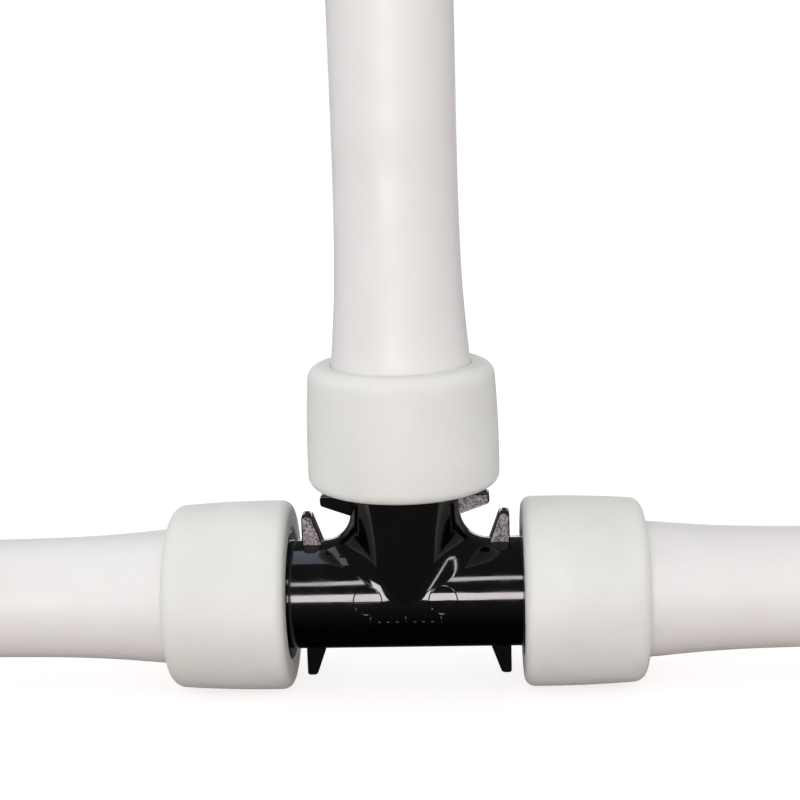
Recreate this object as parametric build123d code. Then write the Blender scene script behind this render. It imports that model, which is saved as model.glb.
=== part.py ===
from build123d import *
import math
import os

os.makedirs("parts", exist_ok=True)

# An equal tee for half-inch cold-expansion pipe, with its three reinforcing rings and the three
# pipe ends made up on it. Millimetres. X is along the straight run, +Z is up the branch, and
# Z = 0 is the plane that the two run rings rest on. Every piece of a port is drawn about +Z, with
# Z measured from the point where the axes of the tee cross, and is then turned to its port.

# Pipe as it is sold
pipe_r = 7.94
pipe_wall = 1.78

# Tee moulding
body_r = 7.3
waterway_r = 4.7
port_face = 15.4  # from the crossing of the axes to the collar, where the ring starts
collar_r = 8.6
collar_thickness = 1.5
collar_edge_r = 0.2

# Blend in the crotch, full at the sides and dying out at the front and back
crotch_fillet_r = 4.0
crotch_bite = 0.03  # how far it sinks into the body, so that the two meet cleanly
crotch_depth = 0.5  # where its hidden corner lies, as a share of the body's radius
crotch_angles = (-84, -72, -54, -36, -18, 0, 18, 36, 54, 72, 84)

# Lugs that the fingers and the assembly tool push on, two to a port
lug_reach = 11.2  # from the port's axis
lug_gap = 1.6  # between the lug and the ring
lug_base_width = 2.7
lug_tip_width = 1.3
lug_thickness = 2.5
lug_edge_r = 0.4

# Ribbed spigot inside each pipe end
spigot_length = 14.3
spigot_root_r = 6.85
rib_crest_r = 7.5
rib_count = 4
rib_first = 1.8  # from the collar
rib_pitch = 3.0
rib_flat = 0.8
rib_slope = 1.6
tip_r = 6.3
tip_taper = 1.0
mouth_chamfer = 0.5

# Reinforcing ring, shrunk on the pipe end
ring_length = 16.0
ring_inner_end_r = 12.6
ring_outer_end_r = 12.1
ring_barrel = 0.2  # how far its middle stands proud of a straight taper
ring_inner_corner_r = 1.3
ring_outer_corner_r = 1.6
ring_mouth_chamfer = 0.35
lip_r = 8.75  # the stop lip at its inner end closes round the collar

# Pipe end, opened out over the spigot
spigot_clearance = 0.03
pipe_gap = 0.1  # between the pipe's end and the collar
neck_length = 26.0
neck_decay = 9.1
neck_power = 1.3
neck_spans = 8
run_stub = 36.0  # from the ring's outer face to the cut end
branch_stub = 62.0

spigot_start = port_face + collar_thickness
spigot_tip = spigot_start + spigot_length
ring_end = port_face + ring_length
pipe_start = spigot_start + pipe_gap
pipe_bore_r = pipe_r - pipe_wall
grip_bore_r = rib_crest_r + spigot_clearance
wall_section = pipe_r**2 - pipe_bore_r**2  # this times pi is the wall's area, kept when it stretches
grip_r = math.sqrt(grip_bore_r**2 + wall_section)

ports = {
    "left": Rotation(0, -90, 0),
    "right": Rotation(0, 90, 0),
    "branch": Rotation(0, 0, 0),
}
stubs = {"left": run_stub, "right": run_stub, "branch": branch_stub}


def turned(outline):
    """Solid of revolution about Z, from a closed outline drawn as (radius, z)."""
    return revolve(make_face(Plane.XZ * outline), Axis.Z)


def rounded(face, x, y, radius):
    """The flat face with its corner at x, y rounded."""
    return fillet(face.vertices().sort_by_distance((x, y, 0))[0], radius)


def rod(radius, low, high):
    aligned = (Align.CENTER, Align.CENTER, Align.MIN)
    return Pos(0, 0, low) * Cylinder(radius, high - low, align=aligned)


def on_each_port(shape):
    return Part() + [turn * shape for turn in ports.values()]


def crotch_section(angle):
    """Slice of the blend, as deep in Y as the body's wall is when turned by angle."""
    scale = math.cos(math.radians(angle))
    hidden = crotch_depth * body_r * scale
    centre = (body_r + crotch_fillet_r - crotch_bite) * scale
    radius = crotch_fillet_r * scale
    middle = centre - radius * math.sqrt(0.5)
    low_end = (centre, centre - radius)
    high_end = (centre - radius, centre)
    outline = Curve() + [
        Line((hidden, hidden), low_end),
        ThreePointArc(low_end, (middle, middle), high_end),
        Line(high_end, (hidden, hidden)),
    ]
    return Pos(0, body_r * math.sin(math.radians(angle)), 0) * make_face(Plane.XZ * outline)


def body():
    """Run and branch, blended in the two crotches."""
    crotch = loft([crotch_section(angle) for angle in crotch_angles])
    run = ports["right"] * rod(body_r, -port_face, port_face)
    return run + rod(body_r, 0, port_face) + crotch + crotch.mirror(Plane.YZ)


def collar():
    disc = rod(collar_r, port_face, spigot_start)
    return fillet(disc.edges().filter_by(GeomType.CIRCLE), collar_edge_r)


def lug_pair():
    """Two blades across the port, straight behind the ring and sloped towards the tee."""
    straight_side = port_face - lug_gap
    outline = Polyline(
        (0, straight_side),
        (lug_reach, straight_side),
        (lug_reach, straight_side - lug_tip_width),
        (body_r, straight_side - lug_base_width),
        (0, straight_side - lug_base_width),
        close=True,
    )
    blade = extrude(make_face(Plane.XZ * outline), lug_thickness / 2, both=True)
    outer_edges = blade.edges().filter_by(lambda edge: edge.center().X > body_r)
    blade = fillet(outer_edges, lug_edge_r)
    return blade + blade.mirror(Plane.YZ)


def spigot():
    """Saw-tooth ribs: steep towards the tee, so that the pipe slides on but not off."""
    points = [(0, 0), (spigot_root_r, 0)]
    for rib in range(rib_count):
        steep = spigot_start + rib_first + rib * rib_pitch
        points += [
            (spigot_root_r, steep),
            (rib_crest_r, steep),
            (rib_crest_r, steep + rib_flat),
            (spigot_root_r, steep + rib_flat + rib_slope),
        ]
    points += [(spigot_root_r, spigot_tip - tip_taper), (tip_r, spigot_tip), (0, spigot_tip)]
    return turned(Polyline(*points, close=True))


def waterway():
    """Through the run, and up the branch from it, with each mouth chamfered."""
    mouth = spigot_tip - mouth_chamfer
    flare = Cone(waterway_r, waterway_r + mouth_chamfer, mouth_chamfer)
    leg = rod(waterway_r, 0, spigot_tip) + Pos(0, 0, mouth + mouth_chamfer / 2) * flare
    return on_each_port(leg)


def tee_body():
    return body() + on_each_port(collar() + lug_pair() + spigot()) - waterway()


def reinforcing_ring():
    middle_r = (ring_inner_end_r + ring_outer_end_r) / 2 + ring_barrel
    bore = Polyline(
        (ring_outer_end_r, ring_end),
        (grip_r + ring_mouth_chamfer, ring_end),
        (grip_r, ring_end - ring_mouth_chamfer),
        (grip_r, pipe_start),
        (lip_r, pipe_start),
        (lip_r, port_face + ring_mouth_chamfer),
        (lip_r + ring_mouth_chamfer, port_face),
        (ring_inner_end_r, port_face),
    )
    side = ThreePointArc(
        (ring_inner_end_r, port_face),
        (middle_r, (port_face + ring_end) / 2),
        (ring_outer_end_r, ring_end),
    )
    face = make_face(Curve() + [bore, side])
    face = rounded(face, ring_inner_end_r, port_face, ring_inner_corner_r)
    face = rounded(face, ring_outer_end_r, ring_end, ring_outer_corner_r)
    return revolve(Plane.XZ * face, Axis.Z)


def neck(bore):
    """Points of the pipe's wall as it narrows from the spigot back to its own size."""
    last = math.exp(-((neck_length / neck_decay) ** neck_power))
    points = []
    for span in range(neck_spans + 1):
        along = neck_length * span / neck_spans
        opened = (math.exp(-((along / neck_decay) ** neck_power)) - last) / (1 - last)
        outer_r = pipe_r + (grip_r - pipe_r) * opened
        radius = math.sqrt(outer_r**2 - wall_section) if bore else outer_r
        points.append((radius, ring_end + along))
    return Spline(*points, tangents=[(0, 1), (0, 1)])


def pipe_end(stub):
    cut = ring_end + stub
    straight = ring_end + neck_length
    outline = Curve() + [
        Line((grip_bore_r, pipe_start), (grip_r, pipe_start)),
        Line((grip_r, pipe_start), (grip_r, ring_end)),
        neck(bore=False),
        Line((pipe_r, straight), (pipe_r, cut)),
        Line((pipe_r, cut), (pipe_bore_r, cut)),
        Line((pipe_bore_r, cut), (pipe_bore_r, straight)),
        neck(bore=True),
        Line((grip_bore_r, ring_end), (grip_bore_r, pipe_start)),
    ]
    return turned(outline)


tee = tee_body()
ring = reinforcing_ring()
axis_height = ring.bounding_box().max.X  # the run rings rest on Z = 0


def write(shape, name, port="branch"):
    export_step(Pos(0, 0, axis_height) * ports[port] * shape, f"parts/{name}.step")


write(tee, "tee_body")
for port, stub in stubs.items():
    write(ring, f"{port}_ring", port)
    write(pipe_end(stub), f"{port}_pipe", port)
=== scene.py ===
import bmesh
import bpy
import math
from mathutils import Euler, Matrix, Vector


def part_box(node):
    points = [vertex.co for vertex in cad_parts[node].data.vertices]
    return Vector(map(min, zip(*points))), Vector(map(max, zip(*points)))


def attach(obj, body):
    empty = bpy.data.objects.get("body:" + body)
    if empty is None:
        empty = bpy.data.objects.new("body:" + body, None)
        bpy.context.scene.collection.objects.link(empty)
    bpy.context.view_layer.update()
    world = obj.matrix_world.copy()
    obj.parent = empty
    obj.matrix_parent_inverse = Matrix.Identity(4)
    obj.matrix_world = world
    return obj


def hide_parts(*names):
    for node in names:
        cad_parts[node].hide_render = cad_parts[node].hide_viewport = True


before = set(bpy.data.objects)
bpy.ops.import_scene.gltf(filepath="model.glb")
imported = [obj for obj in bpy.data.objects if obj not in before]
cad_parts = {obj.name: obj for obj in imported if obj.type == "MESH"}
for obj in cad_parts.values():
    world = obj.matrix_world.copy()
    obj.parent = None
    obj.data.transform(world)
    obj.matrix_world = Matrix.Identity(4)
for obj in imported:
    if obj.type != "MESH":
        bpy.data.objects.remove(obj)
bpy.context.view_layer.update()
bpy.context.scene.view_settings.view_transform = "Standard"
print("frame loaded:", len(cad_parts), "nodes")

mm = 0.001
tiny = 0.002 * mm  # points nearer than this are one point
quarterTurn = math.pi / 2
alongShare = 0.99  # an edge with this share of its length along an axis lies along it

# places that the pieces share, measured from where the axes of the tee cross
ringLow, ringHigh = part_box("right_ring")
axisHeight = (ringLow.z + ringHigh.z) / 2
ringStart = ringLow.x
ringEnd = ringHigh.x
pipeLow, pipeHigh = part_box("right_pipe")
pipeStart = pipeLow.x
runCut = pipeHigh.x
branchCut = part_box("branch_pipe")[1].z - axisHeight
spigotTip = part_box("tee_body")[1].x
turns = {"right": quarterTurn, "left": -quarterTurn, "branch": 0}  # about Y, from straight up


def deselect():
    bpy.ops.object.select_all(action="DESELECT")


def openPiece(piece):  # into edit mode, nothing selected
    deselect()
    piece.select_set(True)
    bpy.context.view_layer.objects.active = piece
    bpy.ops.object.mode_set(mode="EDIT")
    bpy.ops.mesh.select_all(action="DESELECT")


def closePiece():
    bpy.ops.object.mode_set(mode="OBJECT")
    return bpy.context.object


def choose(kind, test):  # selects points, edges or faces whose every corner passes the test
    bpy.ops.mesh.select_mode(type=kind)
    bpy.ops.mesh.select_all(action="DESELECT")
    mesh = bmesh.from_edit_mesh(bpy.context.object.data)
    if kind == "VERT":
        found = [point for point in mesh.verts if test(point.co)]
    else:
        parts = mesh.edges if kind == "EDGE" else mesh.faces
        found = [part for part in parts if all(test(point.co) for point in part.verts)]
    for part in found:
        part.select_set(True)
    mesh.select_flush_mode()
    bmesh.update_edit_mesh(bpy.context.object.data)


def keepAlong(axis):  # of the chosen edges, leaves those along X, Y or Z
    mesh = bmesh.from_edit_mesh(bpy.context.object.data)
    chosen = [edge for edge in mesh.edges if edge.select]
    bpy.ops.mesh.select_all(action="DESELECT")
    for edge in chosen:
        reach = edge.verts[1].co - edge.verts[0].co
        if abs(reach[axis]) > alongShare * reach.length:
            edge.select_set(True)
    bmesh.update_edit_mesh(bpy.context.object.data)


def near(value, target, reach=tiny):
    return abs(value - target) < reach


def applyModifier(piece, kind, **settings):
    bpy.context.view_layer.objects.active = piece
    modifier = piece.modifiers.new(kind.lower(), kind)
    for key, value in settings.items():
        setattr(modifier, key, value)
    bpy.ops.object.modifier_apply(modifier=modifier.name)


def cutOrJoin(piece, tool, operation):  # the tool is used up
    deselect()
    piece.select_set(True)
    applyModifier(piece, "BOOLEAN", operation=operation, object=tool, solver="EXACT")
    bpy.data.objects.remove(tool)


def joinPieces(pieces):
    deselect()
    for piece in pieces:
        piece.select_set(True)
    bpy.context.view_layer.objects.active = pieces[0]
    bpy.ops.object.join()
    return bpy.context.object


# moves a piece, and keeps its object at the origin
def place(piece, location=(0, 0, 0), turn=(0, 0, 0)):
    deselect()
    piece.select_set(True)
    bpy.context.view_layer.objects.active = piece
    piece.location = location
    piece.rotation_euler = turn
    bpy.ops.object.transform_apply(location=True, rotation=True, scale=True)


flatFaceWeight = 70  # how far large faces lead the shading at an edge, where 50 is even


def finishPiece(piece, name, body, node, smoothAngle):
    piece.name = name
    deselect()
    piece.select_set(True)
    bpy.context.view_layer.objects.active = piece
    bpy.ops.object.shade_smooth_by_angle(angle=smoothAngle)
    applyModifier(piece, "WEIGHTED_NORMAL", keep_sharp=True, weight=flatFaceWeight)
    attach(piece, body)
    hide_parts(node)
    print(name, "made:", len(piece.data.polygons), "faces")


def drawOutline(corners):  # a flat face through (radius, along) corners, left open for editing
    deselect()
    bpy.ops.mesh.primitive_plane_add(size=mm)
    bpy.ops.object.mode_set(mode="EDIT")
    bpy.ops.mesh.select_mode(type="VERT")
    bpy.ops.mesh.select_all(action="SELECT")
    bpy.ops.mesh.merge(type="CENTER")
    bpy.ops.transform.translate(value=(corners[0][0], 0, corners[0][1]))
    for last, corner in zip(corners, corners[1:]):
        step = (corner[0] - last[0], 0, corner[1] - last[1])
        bpy.ops.mesh.extrude_region_move(TRANSFORM_OT_translate={"value": step})
    bpy.ops.mesh.select_all(action="SELECT")
    bpy.ops.mesh.edge_face_add()


def roundCorner(corner, radius, segments):
    choose("VERT", lambda p: near(p.x, corner[0]) and near(p.z, corner[1]))
    bpy.ops.mesh.bevel(offset=radius, segments=segments, affect="VERTICES")


def spinOutline(steps):  # turns the open outline once round Z into a closed skin
    bpy.ops.mesh.select_all(action="SELECT")
    bpy.ops.mesh.delete(type="ONLY_FACE")
    bpy.ops.mesh.select_all(action="SELECT")
    bpy.ops.mesh.spin(steps=steps, angle=4 * quarterTurn, center=(0, 0, 0), axis=(0, 0, 1))
    bpy.ops.mesh.select_all(action="SELECT")
    bpy.ops.mesh.remove_doubles(threshold=tiny)
    bpy.ops.mesh.normals_make_consistent(inside=False)
    return closePiece()


def newMaterial(name):
    material = bpy.data.materials.new(name)
    material.use_nodes = True
    return material, material.node_tree.nodes["Principled BSDF"]


def addNode(material, kind, inputs=None, **settings):  # for a material, or for the world
    node = material.node_tree.nodes.new("ShaderNode" + kind)
    for key, value in settings.items():
        setattr(node, key, value)
    for key, value in (inputs or {}).items():
        node.inputs[key].default_value = value
    return node


def link(material, fromSocket, toSocket):
    material.node_tree.links.new(fromSocket, toSocket)


# scale is features in a metre
def addNoise(material, scale, stretch=(1, 1, 1), detail=3, roughness=0.5):
    coordinates = addNode(material, "TexCoord")
    mapping = addNode(material, "Mapping", {"Scale": stretch})
    noise = addNode(material, "TexNoise", {
        "Scale": scale, "Detail": detail, "Roughness": roughness})
    link(material, coordinates.outputs["Object"], mapping.inputs["Vector"])
    link(material, mapping.outputs["Vector"], noise.inputs["Vector"])
    return noise.outputs["Fac"]


def addRange(material, value, low, high, toLow, toHigh):
    ranged = addNode(material, "MapRange", {
        "From Min": low, "From Max": high, "To Min": toLow, "To Max": toHigh})
    link(material, value, ranged.inputs["Value"])
    return ranged.outputs["Result"]


def addTint(material, amount, colourA, colourB):
    mix = addNode(material, "Mix", data_type="RGBA")
    mix.inputs["A"].default_value = (*colourA, 1)
    mix.inputs["B"].default_value = (*colourB, 1)
    link(material, amount, mix.inputs["Factor"])
    return mix.outputs["Result"]


def addBump(material, height, strength, depth, below=None):
    bump = addNode(material, "Bump", {"Strength": strength, "Distance": depth})
    link(material, height, bump.inputs["Height"])
    if below:
        link(material, below, bump.inputs["Normal"])
    return bump.outputs["Normal"]


glossBlack = {
    "colour": (0.0014, 0.0014, 0.0018),
    "dustColour": (0.06, 0.055, 0.06),
    "ior": 1.56,
    "roughness": (0.06, 0.13),
    "cloudScale": 260,
    "cloudRange": (0.35, 0.7),
    "peelScale": 620,
    "peelDepth": 0.003 * mm,
    "scratchScale": 700,
    "scratchDepth": 0.0012 * mm,
    "scratches": (  # stretch of the pattern, and the part of it that scratches
        ((0.3, 6, 6), (0.62, 0.74)),
        ((6, 6, 0.3), (0.64, 0.76)),
    ),
    "dustScale": 1500,
    "dustSize": (0.04, 0.13),
    "dustPatchScale": 330,
    "dustPatchRange": (0.5, 0.7),
}


def makeDust(material, v):  # specks, only in patches
    coordinates = addNode(material, "TexCoord")
    specks = addNode(material, "TexVoronoi", {"Scale": v["dustScale"], "Randomness": 1.0})
    link(material, coordinates.outputs["Object"], specks.inputs["Vector"])
    patches = addNoise(material, v["dustPatchScale"], detail=2)
    dust = addNode(material, "Math", operation="MULTIPLY")
    link(material, addRange(material, specks.outputs["Distance"], *v["dustSize"], 1, 0),
         dust.inputs[0])
    link(material, addRange(material, patches, *v["dustPatchRange"], 0, 1), dust.inputs[1])
    return dust.outputs["Value"]


def makeGlossBlack(v):  # moulded tee: polished, lightly scuffed, a little dust on it
    material, shader = newMaterial("glossBlack")
    cloud = addNoise(material, v["cloudScale"])
    rough = addRange(material, cloud, *v["cloudRange"], *v["roughness"])
    tint = addTint(material, makeDust(material, v), v["colour"], v["dustColour"])
    link(material, tint, shader.inputs["Base Color"])
    link(material, rough, shader.inputs["Roughness"])
    peel = addNoise(material, v["peelScale"], detail=1)
    surface = addBump(material, peel, 1, v["peelDepth"])
    for stretch, span in v["scratches"]:
        scratch = addRange(
            material, addNoise(material, v["scratchScale"], stretch, 2), *span, 0, 1)
        surface = addBump(material, scratch, 1, v["scratchDepth"], surface)
    link(material, surface, shader.inputs["Normal"])
    shader.inputs["IOR"].default_value = v["ior"]
    return material


lugGrainAndGlints = {
    # dark grain, and light pinkish specks that are painted glints where the grain would catch the
    # lamps
    "colours": ((0.02, 0.017, 0.02), (0.52, 0.45, 0.48)),
    "paintedGlintRange": (0.40, 0.57),
    "roughness": 0.3,
    "grainScale": 3600,
    "grainFineness": 0.7,
    "grainStrength": 0.9,
    "grainDepth": 0.14 * mm,
    "pitScale": 1500,
    "pitStrength": 0.7,
}


def makeLugGrainAndGlints(v):  # spark-eroded faces of the lugs: real grain in the bumps, with painted glints as light pinkish specks in the colour
    material, shader = newMaterial("lugGrainAndGlints")
    grain = addNoise(material, v["grainScale"], detail=4, roughness=v["grainFineness"])
    # painted glints: the higher grain is coloured light pinkish
    lit = addRange(material, grain, *v["paintedGlintRange"], 0, 1)
    link(material, addTint(material, lit, *v["colours"]), shader.inputs["Base Color"])
    pits = addNoise(material, v["pitScale"], detail=2)
    coarse = addBump(material, pits, v["pitStrength"], v["grainDepth"])
    fine = addBump(material, grain, v["grainStrength"], v["grainDepth"], coarse)
    link(material, fine, shader.inputs["Normal"])
    shader.inputs["Roughness"].default_value = v["roughness"]
    return material


milkyRing = {
    "colours": ((0.80, 0.805, 0.76), (0.865, 0.865, 0.825)),
    "cloudScale": 95,
    "cloudRange": (0.3, 0.7),
    "patchScale": 285,
    "patchRange": (0.35, 0.65),
    "roughness": (0.52, 0.66),
    "waveScale": 210,
    "waveStrength": 0.5,
    "waveDepth": 0.05 * mm,
    "grainScale": 1900,
    "grainDetail": 3,
    "grainStrength": 0.6,
    "grainDepth": 0.006 * mm,
    "glowWeight": 0.35,
    "glowReach": (3.6 * mm, 3.0 * mm, 2.4 * mm),
}

whitePipe = {
    "colours": ((0.885, 0.845, 0.825), (0.93, 0.90, 0.88)),
    "cloudScale": 60,
    "cloudRange": (0.3, 0.7),
    "patchScale": 180,
    "patchRange": (0.35, 0.65),
    "roughness": (0.42, 0.56),
    "waveScale": 160,
    "waveStrength": 0.4,
    "waveDepth": 0.03 * mm,
    "grainScale": 900,
    "grainDetail": 2,
    "grainStrength": 0.5,
    "grainDepth": 0.006 * mm,
    "glowWeight": 0.3,
    "glowReach": (3.2 * mm, 2.2 * mm, 2.0 * mm),
}
drawnLine = 0.02  # how little the pipe's grain changes along the pipe


def makeMilky(name, v, stretch=(1, 1, 1)):  # both white plastics: clouded, faintly waved, grained
    material, shader = newMaterial(name)
    cloud = addNoise(material, v["cloudScale"], detail=4)
    amount = addRange(material, cloud, *v["cloudRange"], 0, 1)
    link(material, addTint(material, amount, *v["colours"]), shader.inputs["Base Color"])
    patches = addNoise(material, v["patchScale"], detail=2)
    rough = addRange(material, patches, *v["patchRange"], *v["roughness"])
    link(material, rough, shader.inputs["Roughness"])
    waves = addNoise(material, v["waveScale"], detail=1)
    surface = addBump(material, waves, v["waveStrength"], v["waveDepth"])
    grain = addNoise(material, v["grainScale"], stretch, v["grainDetail"])
    surface = addBump(material, grain, v["grainStrength"], v["grainDepth"], surface)
    link(material, surface, shader.inputs["Normal"])
    shader.inputs["Subsurface Weight"].default_value = v["glowWeight"]
    shader.inputs["Subsurface Radius"].default_value = v["glowReach"]
    shader.inputs["Subsurface Scale"].default_value = 1.0
    return material


materials = {
    "tee": makeGlossBlack(glossBlack),
    "lug": makeLugGrainAndGlints(lugGrainAndGlints),
    "ring": makeMilky("milkyRing", milkyRing),
    "runPipe": makeMilky("whitePipeRun", whitePipe, (drawnLine, 1, 1)),
    "branchPipe": makeMilky("whitePipeBranch", whitePipe, (1, 1, drawnLine)),
}
print("materials made:", len(materials))


teeBody = {
    "radius": 7.3 * mm,
    "crotchFillet": 4.0 * mm,
    "filletSteps": 14,
    "sweepSteps": 36,  # from the side of the tee to its front
    "collarRadius": 8.6 * mm,
    "collarThickness": 1.5 * mm,
    "collarEdge": 0.2 * mm,
    "collarEdgeSteps": 3,
    "rootRadius": 6.85 * mm,
    "crestRadius": 7.5 * mm,
    "ribs": 4,
    "ribFirst": 1.8 * mm,
    "ribPitch": 3.0 * mm,
    "ribFlat": 0.8 * mm,
    "ribSlope": 1.6 * mm,
    "tipRadius": 6.3 * mm,
    "tipTaper": 1.0 * mm,
    "waterwayRadius": 4.7 * mm,
    "waterwaySteps": 72,
    "mouthFlare": 0.5 * mm,
    "smoothAngle": math.radians(32),
}


def makeCrotch(v):  # one of the four quarters between run and branch
    centre = v["radius"] + v["crotchFillet"]
    deselect()
    bpy.ops.mesh.primitive_circle_add(
        vertices=4 * v["filletSteps"], radius=v["crotchFillet"],
        location=(centre, 0, centre), rotation=(quarterTurn, 0, 0))
    crotch = bpy.context.object
    place(crotch, crotch.location.copy(), crotch.rotation_euler.copy())
    openPiece(crotch)
    choose("VERT", lambda p: p.x > centre + tiny or p.z > centre + tiny)
    bpy.ops.mesh.delete(type="VERT")
    bpy.ops.mesh.select_all(action="SELECT")
    for step in range(v["sweepSteps"]):
        angle = quarterTurn * step / v["sweepSteps"]
        ahead = quarterTurn * (step + 1) / v["sweepSteps"]
        shrink = max(math.cos(ahead) / math.cos(angle), 0)
        forward = v["radius"] * (math.sin(ahead) - math.sin(angle))
        bpy.ops.mesh.extrude_edges_move()
        bpy.ops.transform.resize(value=(shrink, 1, shrink), center_override=(0, 0, 0))
        bpy.ops.transform.translate(value=(0, -forward, 0))
    bpy.ops.mesh.select_all(action="SELECT")
    bpy.ops.mesh.remove_doubles(threshold=tiny)
    return crotch


def extendCrotch(v):  # from the blend's two rims to the collars, straight along run and branch
    contact = v["radius"] + v["crotchFillet"]
    same = 1e-4  # slopes nearer than this are one slope
    choose("EDGE", lambda p: near(p.x / contact, p.z / v["radius"], same) and p.x < contact + tiny)
    bpy.ops.mesh.extrude_edges_move()
    bpy.ops.transform.resize(value=(0, 1, 1), center_override=(ringStart, 0, 0))
    choose("EDGE", lambda p: near(p.z / contact, p.x / v["radius"], same) and p.z < contact + tiny)
    bpy.ops.mesh.extrude_edges_move()
    bpy.ops.transform.resize(value=(1, 1, 0), center_override=(0, 0, ringStart))


def addUnderside(v):  # lower half of the run
    choose("EDGE", lambda p: near(p.z, 0) and near(p.y, -v["radius"]))
    bpy.ops.mesh.spin(
        steps=2 * v["sweepSteps"], angle=2 * quarterTurn, center=(0, 0, 0), axis=(-1, 0, 0))
    bpy.ops.mesh.select_all(action="SELECT")
    bpy.ops.mesh.remove_doubles(threshold=tiny)


def spigotStations(v):  # (along, radius) from the body to the tip
    start = ringStart + v["collarThickness"]
    stations = [
        (ringStart, v["collarRadius"]),
        (start, v["collarRadius"]),
        (start, v["rootRadius"]),
    ]
    for rib in range(v["ribs"]):
        steep = start + v["ribFirst"] + rib * v["ribPitch"]
        stations += [
            (steep, v["rootRadius"]),
            (steep, v["crestRadius"]),
            (steep + v["ribFlat"], v["crestRadius"]),
            (steep + v["ribFlat"] + v["ribSlope"], v["rootRadius"]),
        ]
    return stations + [(spigotTip - v["tipTaper"], v["rootRadius"]), (spigotTip, v["tipRadius"])]


def growPort(v, direction):  # collar and ribbed spigot, drawn out of the body's open end
    across = [0 if direction[axis] else 1 for axis in range(3)]
    choose("EDGE", lambda p: near(p.dot(direction), ringStart))
    lastAlong, lastRadius = ringStart, v["radius"]
    for along, radius in spigotStations(v):
        ratio = radius / lastRadius
        bpy.ops.mesh.extrude_edges_move()
        bpy.ops.transform.translate(value=[(along - lastAlong) * part for part in direction])
        bpy.ops.transform.resize(
            value=[ratio if part else 1 for part in across], center_override=(0, 0, 0))
        lastAlong, lastRadius = along, radius
    bpy.ops.mesh.edge_face_add()


def softenCollar(v, direction):
    edges = (ringStart, ringStart + v["collarThickness"])

    def onCollarEdge(p):
        along = p.dot(direction)
        fromAxis = math.sqrt(max(p.length_squared - along ** 2, 0))
        return near(fromAxis, v["collarRadius"]) and min(abs(along - edge) for edge in edges) < tiny

    choose("EDGE", onCollarEdge)
    bpy.ops.mesh.bevel(offset=v["collarEdge"], segments=v["collarEdgeSteps"], affect="EDGES")


def makeTeeSkin(v):
    tee = makeCrotch(v)
    extendCrotch(v)
    closePiece()
    deselect()
    tee.select_set(True)
    applyModifier(tee, "MIRROR", use_axis=(True, True, False), merge_threshold=tiny)
    openPiece(tee)
    addUnderside(v)
    for turn in turns.values():
        direction = (round(math.sin(turn)), 0, round(math.cos(turn)))
        growPort(v, direction)
        softenCollar(v, Vector(direction))
    bpy.ops.mesh.select_all(action="SELECT")
    bpy.ops.mesh.normals_make_consistent(inside=False)
    return closePiece()


lugs = {
    "reach": 11.2 * mm,  # from the port's axis
    "root": 5.6 * mm,  # hidden in the wall
    "gap": 1.6 * mm,  # to the ring
    "baseWidth": 2.7 * mm,
    "tipWidth": 1.3 * mm,
    "thickness": 2.5 * mm,
    "tipEdge": 0.38 * mm,
    "tipEdgeSteps": 5,
    "sideEdge": 0.1 * mm,
    "sideEdgeSteps": 2,
    "rim": 0.06 * mm,
    "grainCuts": 9,
    "grainHeight": 0.04 * mm,
    "grained": (("left", 1), ("right", -1), ("branch", 1)),  # port, and side of it; these faces also get the painted glints
}


def makeLug(v, body, port, side, number):
    slope = (v["baseWidth"] - v["tipWidth"]) / (v["reach"] - body["radius"])
    rootWidth = v["baseWidth"] + slope * (body["radius"] - v["root"])
    straight = ringStart - v["gap"]
    deselect()
    bpy.ops.mesh.primitive_cube_add(
        size=1, scale=(v["reach"] - v["root"], v["thickness"], v["tipWidth"]),
        location=((v["reach"] + v["root"]) / 2, 0, straight - v["tipWidth"] / 2))
    lug = bpy.context.object
    bpy.ops.object.transform_apply(location=True, rotation=True, scale=True)
    lug.data.materials.append(materials["tee"])
    lug.data.materials.append(materials["lug"])
    openPiece(lug)
    choose("VERT", lambda p: p.x < v["root"] + tiny and p.z < straight - tiny)
    bpy.ops.transform.translate(value=(0, 0, v["tipWidth"] - rootWidth))
    choose("EDGE", lambda p: p.x > v["reach"] - tiny)
    keepAlong(1)
    bpy.ops.mesh.bevel(offset=v["tipEdge"], segments=v["tipEdgeSteps"], affect="EDGES")
    for face in (-1, 1):
        choose("EDGE", lambda p: near(p.y, face * v["thickness"] / 2))
        bpy.ops.mesh.bevel(offset=v["sideEdge"], segments=v["sideEdgeSteps"], affect="EDGES")
    if (port, side) in v["grained"]:
        grainLug(v, lug, number)
    closePiece()
    place(lug, turn=(0, 0, 0 if side > 0 else math.pi))
    place(lug, turn=(0, turns[port], 0))
    return lug


def grainLug(v, lug, number):  # roughens the front and back faces inside a smooth rim, and gives them the grain material with its painted glints
    for face in (-1, 1):
        choose("FACE", lambda p: near(p.y, face * v["thickness"] / 2))
        bpy.ops.mesh.inset(thickness=v["rim"], depth=-v["grainHeight"])
        lug.active_material_index = 1
        bpy.ops.object.material_slot_assign()
        bpy.ops.mesh.quads_convert_to_tris()
        bpy.ops.mesh.subdivide(number_cuts=v["grainCuts"])
        bpy.ops.transform.vertex_random(
            offset=v["grainHeight"], uniform=0, normal=1, seed=2 * number + (face > 0))


marks = {
    "pinRadius": 1.85 * mm,
    "pinLine": 0.16 * mm,
    "pinSpread": 4.9 * mm,
    "pinLift": 1.3 * mm,  # above the run's axis
    "pinSteps": 64,
    "pinLineSteps": 8,
    "ticks": 9,
    "tickPitch": 1.15 * mm,
    "tickSize": (0.8 * mm, 0.5 * mm),
    "longTickSize": (0.5 * mm, 1.9 * mm),
    "longTickEvery": 4,
    "tickSteps": (20, 12),
    "tickBulge": 0.5 * mm,
    "tickHeight": 0.26 * mm,
    "tickDrop": 1.6 * mm,  # below the run's axis
}


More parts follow.
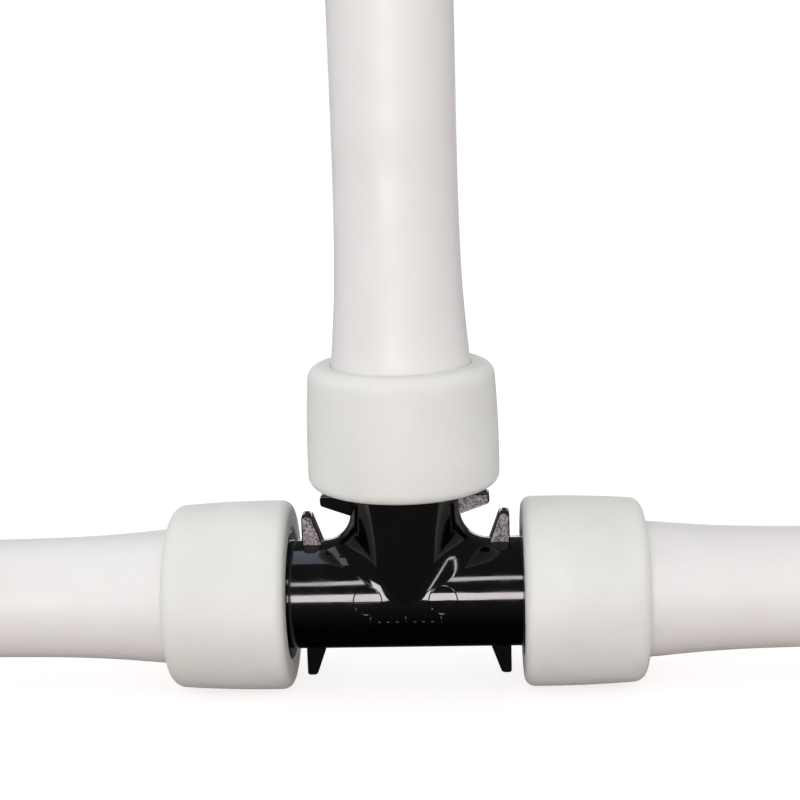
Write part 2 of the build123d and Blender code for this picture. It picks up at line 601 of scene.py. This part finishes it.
# hairline ring that an ejector pin leaves, laid on the round of the run
def makePinMark(v, body, x):
    deselect()
    bpy.ops.mesh.primitive_torus_add(
        major_radius=v["pinRadius"], minor_radius=v["pinLine"] / 2,
        major_segments=v["pinSteps"], minor_segments=v["pinLineSteps"],
        location=(x, -body["radius"], 0), rotation=(quarterTurn, 0, 0))
    bpy.ops.object.transform_apply(location=True, rotation=True, scale=True)
    openPiece(bpy.context.object)
    for step in range(1, v["pinSteps"] // 4 + 1):
        lift = math.sin(4 * quarterTurn * step / v["pinSteps"])
        choose("VERT", lambda p: near(abs(p.z), lift * math.hypot(p.x - x, p.z)))
        sag = body["radius"] - math.sqrt(body["radius"] ** 2 - (v["pinRadius"] * lift) ** 2)
        bpy.ops.transform.translate(value=(0, sag, 0))
    return closePiece()


def makeTick(v, body, x, size):  # plain raised bar, in place of lettering
    lean = math.asin(v["tickDrop"] / body["radius"])
    depth = body["radius"] + v["tickHeight"] - v["tickBulge"]
    deselect()
    bpy.ops.mesh.primitive_uv_sphere_add(
        segments=v["tickSteps"][0], ring_count=v["tickSteps"][1],
        radius=1, scale=(size[0] / 2, v["tickBulge"], size[1] / 2),
        location=(x, -depth * math.cos(lean), -depth * math.sin(lean)), rotation=(lean, 0, 0))
    bpy.ops.object.transform_apply(location=True, rotation=True, scale=True)
    return bpy.context.object


def makeMarks(v, body):  # pins and ticks apart, because some of them cross
    pins = joinPieces([makePinMark(v, body, side * v["pinSpread"]) for side in (-1, 1)])
    place(pins, turn=(-math.asin(v["pinLift"] / body["radius"]), 0, 0))
    ticks = []
    for number in range(v["ticks"]):
        x = (number - (v["ticks"] - 1) / 2) * v["tickPitch"]
        size = v["tickSize"] if number % v["longTickEvery"] else v["longTickSize"]
        ticks.append(makeTick(v, body, x, size))
    return pins, joinPieces(ticks)


def makeWaterway(v, direction):  # cutter for one leg, flared at its mouth
    deselect()
    mouth = spigotTip - v["mouthFlare"]
    bpy.ops.mesh.primitive_cylinder_add(
        vertices=v["waterwaySteps"], radius=v["waterwayRadius"], depth=mouth,
        location=(0, 0, mouth / 2))
    cutter = bpy.context.object
    bpy.ops.object.transform_apply(location=True, rotation=True, scale=True)
    openPiece(cutter)
    choose("FACE", lambda p: near(p.z, mouth))
    beyond = 2 * v["mouthFlare"]  # the cutter runs on past the tip
    flare = (v["waterwayRadius"] + beyond) / v["waterwayRadius"]
    bpy.ops.mesh.extrude_region_move(TRANSFORM_OT_translate={"value": (0, 0, beyond)})
    bpy.ops.transform.resize(value=(flare, flare, 1), center_override=(0, 0, mouth))
    closePiece()
    place(cutter, turn=(0, direction, 0))
    return cutter


def makeTee(v):
    tee = makeTeeSkin(v)
    tee.data.materials.append(materials["tee"])
    tee.data.materials.append(materials["lug"])
    blades = []
    for port in turns:
        for side in (-1, 1):
            blades.append(makeLug(lugs, v, port, side, len(blades)))
    cutOrJoin(tee, joinPieces(blades), "UNION")
    for raised in makeMarks(marks, v):
        cutOrJoin(tee, raised, "UNION")
    for direction in turns.values():
        cutOrJoin(tee, makeWaterway(v, direction), "DIFFERENCE")
    place(tee, (0, 0, axisHeight))
    finishPiece(tee, "teeMoulding", "tee", "tee_body", v["smoothAngle"])


makeTee(teeBody)


ringValues = {
    "innerRadius": 12.59 * mm,
    "outerRadius": 12.09 * mm,
    "barrel": 0.2 * mm,
    "barrelPoints": 8,
    "innerCorner": 1.3 * mm,
    "outerCorner": 1.6 * mm,
    "cornerSteps": 8,
    "lipRadius": 8.75 * mm,
    "mouthChamfer": 0.35 * mm,
    "gripRadius": 9.044 * mm,
    "spinSteps": 160,
    "smoothAngle": math.radians(40),
}


def makeRing(v, port):
    side = []
    for point in range(v["barrelPoints"] + 1):
        share = point / v["barrelPoints"]
        taper = v["innerRadius"] + (v["outerRadius"] - v["innerRadius"]) * share
        bulge = v["barrel"] * 4 * share * (1 - share)
        side.append((taper + bulge, ringStart + (ringEnd - ringStart) * share))
    mouth = [
        (v["gripRadius"] + v["mouthChamfer"], ringEnd),
        (v["gripRadius"], ringEnd - v["mouthChamfer"]),
        (v["gripRadius"], pipeStart),
        (v["lipRadius"], pipeStart),
        (v["lipRadius"], ringStart + v["mouthChamfer"]),
        (v["lipRadius"] + v["mouthChamfer"], ringStart),
    ]
    drawOutline(side + mouth)
    roundCorner(side[0], v["innerCorner"], v["cornerSteps"])
    roundCorner(side[-1], v["outerCorner"], v["cornerSteps"])
    ring = spinOutline(v["spinSteps"])
    ring.data.materials.append(materials["ring"])
    place(ring, (0, 0, axisHeight), (0, turns[port], 0))
    finishPiece(
        ring, port + "Ring", port + "_leg", port + "_ring", v["smoothAngle"])


for port in turns:
    makeRing(ringValues, port)


pipeValues = {
    "radius": 7.94 * mm,
    "wall": 1.78 * mm,
    "gripBore": 7.53 * mm,
    "neckLength": 26.0 * mm,
    "neckDecay": 9.1 * mm,
    "neckPower": 1.3,
    "neckPoints": 26,
    "cutEdge": 0.12 * mm,
    "cutEdgeSteps": 2,
    "spinSteps": 128,
    "smoothAngle": math.radians(40),
}


def neckShare(v, beyond):  # 1 at the ring, 0 where the pipe has its own size again
    last = math.exp(-((v["neckLength"] / v["neckDecay"]) ** v["neckPower"]))
    return (math.exp(-((beyond / v["neckDecay"]) ** v["neckPower"])) - last) / (1 - last)


def makePipe(v, port):
    cut = branchCut if port == "branch" else runCut
    # the wall keeps its area as it opens
    section = v["radius"] ** 2 - (v["radius"] - v["wall"]) ** 2
    grip = math.sqrt(v["gripBore"] ** 2 + section)
    neck = []
    for point in range(v["neckPoints"] + 1):
        beyond = v["neckLength"] * point / v["neckPoints"]
        neck.append((v["radius"] + (grip - v["radius"]) * neckShare(v, beyond), ringEnd + beyond))
    bore = [(math.sqrt(radius ** 2 - section), along) for radius, along in reversed(neck)]
    ends = (v["radius"], cut), (v["radius"] - v["wall"], cut)
    drawOutline([(v["gripBore"], pipeStart), (grip, pipeStart), *neck, *ends, *bore])
    for corner in ends:
        roundCorner(corner, v["cutEdge"], v["cutEdgeSteps"])
    pipe = spinOutline(v["spinSteps"])
    pipe.data.materials.append(materials["branchPipe" if port == "branch" else "runPipe"])
    place(pipe, (0, 0, axisHeight), (0, turns[port], 0))
    finishPiece(
        pipe, port + "Pipe", port + "_leg", port + "_pipe", v["smoothAngle"])


for port in turns:
    makePipe(pipeValues, port)


stageValues = {
    "floorSize": 4.0,
    "floorColour": (0.52, 0.46, 0.45),
    "floorRoughness": 0.9,
    "floorLift": 0.74,  # glow that only the camera sees
    "roomLight": (0.97, 0.98, 1.0),
    "roomStrength": 0.74,
    "backdropStrength": 1.05,
    "glossStrength": 0.1,  # how bright the room looks in the gloss, above the fade
    "glossFade": (-0.85, -0.2),
}


def makeFloor(v):
    deselect()
    bpy.ops.mesh.primitive_plane_add(size=v["floorSize"])
    floor = bpy.context.object
    floor.name = "floor"
    material, shader = newMaterial("paleFloor")
    shader.inputs["Base Color"].default_value = (*v["floorColour"], 1)
    shader.inputs["Roughness"].default_value = v["floorRoughness"]
    shader.inputs["Emission Color"].default_value = (1, 1, 1, 1)
    lift = addNode(material, "Math", {1: v["floorLift"]}, operation="MULTIPLY")
    link(material, addNode(material, "LightPath").outputs["Is Camera Ray"], lift.inputs[0])
    link(material, lift.outputs["Value"], shader.inputs["Emission Strength"])
    floor.data.materials.append(material)
    floor.visible_glossy = False


def makeRoom(v):  # white behind the piece, softer as a light, and nearly dark in the gloss
    world = bpy.data.worlds.new("studio")
    bpy.context.scene.world = world
    world.use_nodes = True
    background = world.node_tree.nodes["Background"]
    background.inputs["Color"].default_value = (*v["roomLight"], 1)
    heading = addNode(world, "TexCoord")
    split = addNode(world, "SeparateXYZ")
    link(world, heading.outputs["Generated"], split.inputs["Vector"])
    inGloss = addRange(world, split.outputs["Z"], *v["glossFade"], 0, v["glossStrength"])
    rays = addNode(world, "LightPath")
    seen = addNode(world, "Mix", {"A": v["roomStrength"], "B": v["backdropStrength"]})
    link(world, rays.outputs["Is Camera Ray"], seen.inputs["Factor"])
    strength = addNode(world, "Mix")
    link(world, seen.outputs["Result"], strength.inputs["A"])
    link(world, inGloss, strength.inputs["B"])
    link(world, rays.outputs["Is Glossy Ray"], strength.inputs["Factor"])
    link(world, strength.outputs["Result"], background.inputs["Strength"])


# degrees and metres; azimuth 0 is the front, 90 the right, and elevation 0 the run's axis;
# radiance is what a mirror would show of the lamp, and shift moves it along the run
lampDefaults = {
    "roll": 0, "shift": 0, "distance": 0.5, "colour": (1.0, 0.93, 0.96), "gloss": True}
lamps = {
    "lowStrip": {
        "azimuth": -8, "elevation": 8, "roll": 3, "size": (0.287, 0.12), "radiance": 13},
    "lowRight": {
        "azimuth": 30, "elevation": 9, "roll": 18, "size": (0.38, 0.03), "radiance": 9},
    "highStrip": {
        "azimuth": -3, "elevation": 41.5, "roll": 40, "size": (0.16, 0.05), "radiance": 9.5},
    "highRight": {
        "azimuth": 29, "elevation": 39, "roll": -24, "size": (0.32, 0.035), "radiance": 9},
    "rightStrip": {
        "azimuth": 51, "elevation": 22, "size": (0.035, 0.12), "radiance": 9,
        "colour": (1.0, 0.95, 0.97)},
    "leftStrip": {
        "azimuth": -16, "elevation": 26, "size": (0.014, 0.28), "radiance": 4,
        "colour": (0.85, 0.92, 1.0)},
    "backStrip": {
        "azimuth": 180, "elevation": 5, "size": (0.40, 0.06), "radiance": 3.5,
        "colour": (0.95, 0.97, 1.0)},
    "coolTop": {
        "azimuth": 0, "elevation": 101, "shift": -0.19, "distance": 0.55,
        "size": (0.32, 0.36), "radiance": 1.5, "colour": (0.72, 0.85, 1.0)},
    "coolLeft": {
        "azimuth": -52, "elevation": 60, "size": (0.13, 0.20), "radiance": 2.0,
        "colour": (0.72, 0.85, 1.0)},
    "frontFill": {
        "azimuth": -2, "elevation": 18, "distance": 0.7, "size": (0.4, 0.4), "radiance": 3.0,
        "colour": (1.0, 0.96, 0.94), "gloss": False},
    "leftFill": {
        "azimuth": -90, "elevation": 25, "distance": 0.7, "size": (0.4, 0.4), "radiance": 0.8,
        "colour": (0.8, 0.92, 1.0), "gloss": False},
}


def makeLamp(name, v):  # gloss lamps show in polished surfaces, the others light the matt ones
    azimuth, elevation = math.radians(v["azimuth"]), math.radians(v["elevation"])
    outward = Vector((
        math.sin(azimuth) * math.cos(elevation),
        -math.cos(azimuth) * math.cos(elevation),
        math.sin(elevation)))
    aim = Euler((quarterTurn - elevation, 0, azimuth)).to_matrix()
    facing = (aim @ Euler((0, 0, math.radians(v["roll"]))).to_matrix()).to_euler()
    deselect()
    bpy.ops.object.light_add(
        type="AREA", rotation=facing,
        location=v["distance"] * outward + Vector((v["shift"], 0, axisHeight)))
    lamp = bpy.context.object
    lamp.name = name
    lamp.data.shape = "RECTANGLE"
    lamp.data.size, lamp.data.size_y = v["size"]
    lamp.data.energy = v["radiance"] * math.pi * v["size"][0] * v["size"][1]
    lamp.data.color = v["colour"]
    lamp.visible_camera = False
    lamp.visible_glossy = v["gloss"]
    lamp.visible_diffuse = not v["gloss"]


cameraValues = {
    "location": (0.008782, -0.190181, 0.079119),
    "turn": (78.1, 1.738, 2.344),  # degrees
    "lens": 66.92,
    "nearLimit": 10 * mm,
}


def makeCamera(v):
    deselect()
    bpy.ops.object.camera_add(
        location=v["location"], rotation=[math.radians(angle) for angle in v["turn"]])
    camera = bpy.context.object
    camera.data.lens = v["lens"]
    camera.data.clip_start = v["nearLimit"]
    bpy.context.scene.camera = camera


makeFloor(stageValues)
makeRoom(stageValues)
for name, values in lamps.items():
    makeLamp(name, {**lampDefaults, **values})
makeCamera(cameraValues)
print("stage, lamps and camera set")
